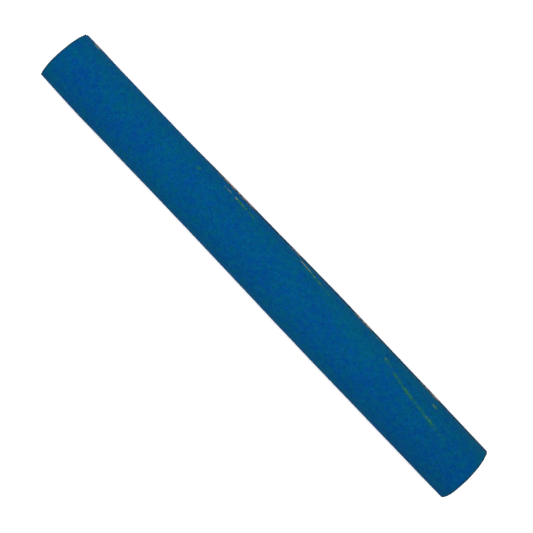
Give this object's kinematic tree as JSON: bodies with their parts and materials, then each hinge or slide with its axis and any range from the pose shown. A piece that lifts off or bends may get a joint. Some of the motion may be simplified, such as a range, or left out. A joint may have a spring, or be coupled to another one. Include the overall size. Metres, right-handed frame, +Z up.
{
  "type": "sanding stick",
  "caption": "Round hand sanding stick: a wooden dowel with a strip of blue abrasive paper rolled round it, lapped and taped along a lengthwise seam.",
  "frame": {"origin": "on the surface that the stick lies on, below the middle of the box that holds the stick", "axes": "+X along the dowel, towards the end where the paper is slacker; +Y towards the seam, where the free edge of the paper lies; +Z up from the flat that the stick rests on"},
  "size_m": [0.231, 0.0258, 0.025],
  "materials": {
    "dowel_wood": "matte",
    "double_sided_tape": "satin",
    "kraft_paper": "matte",
    "blue_grain": "matte"
  },
  "bodies": {
    "root": {"dowel_core": "dowel_wood", "core_tape": "double_sided_tape", "backing_paper": "kraft_paper", "abrasive_coat": "blue_grain", "lap_tape": "double_sided_tape"}
  },
  "joints": []
}
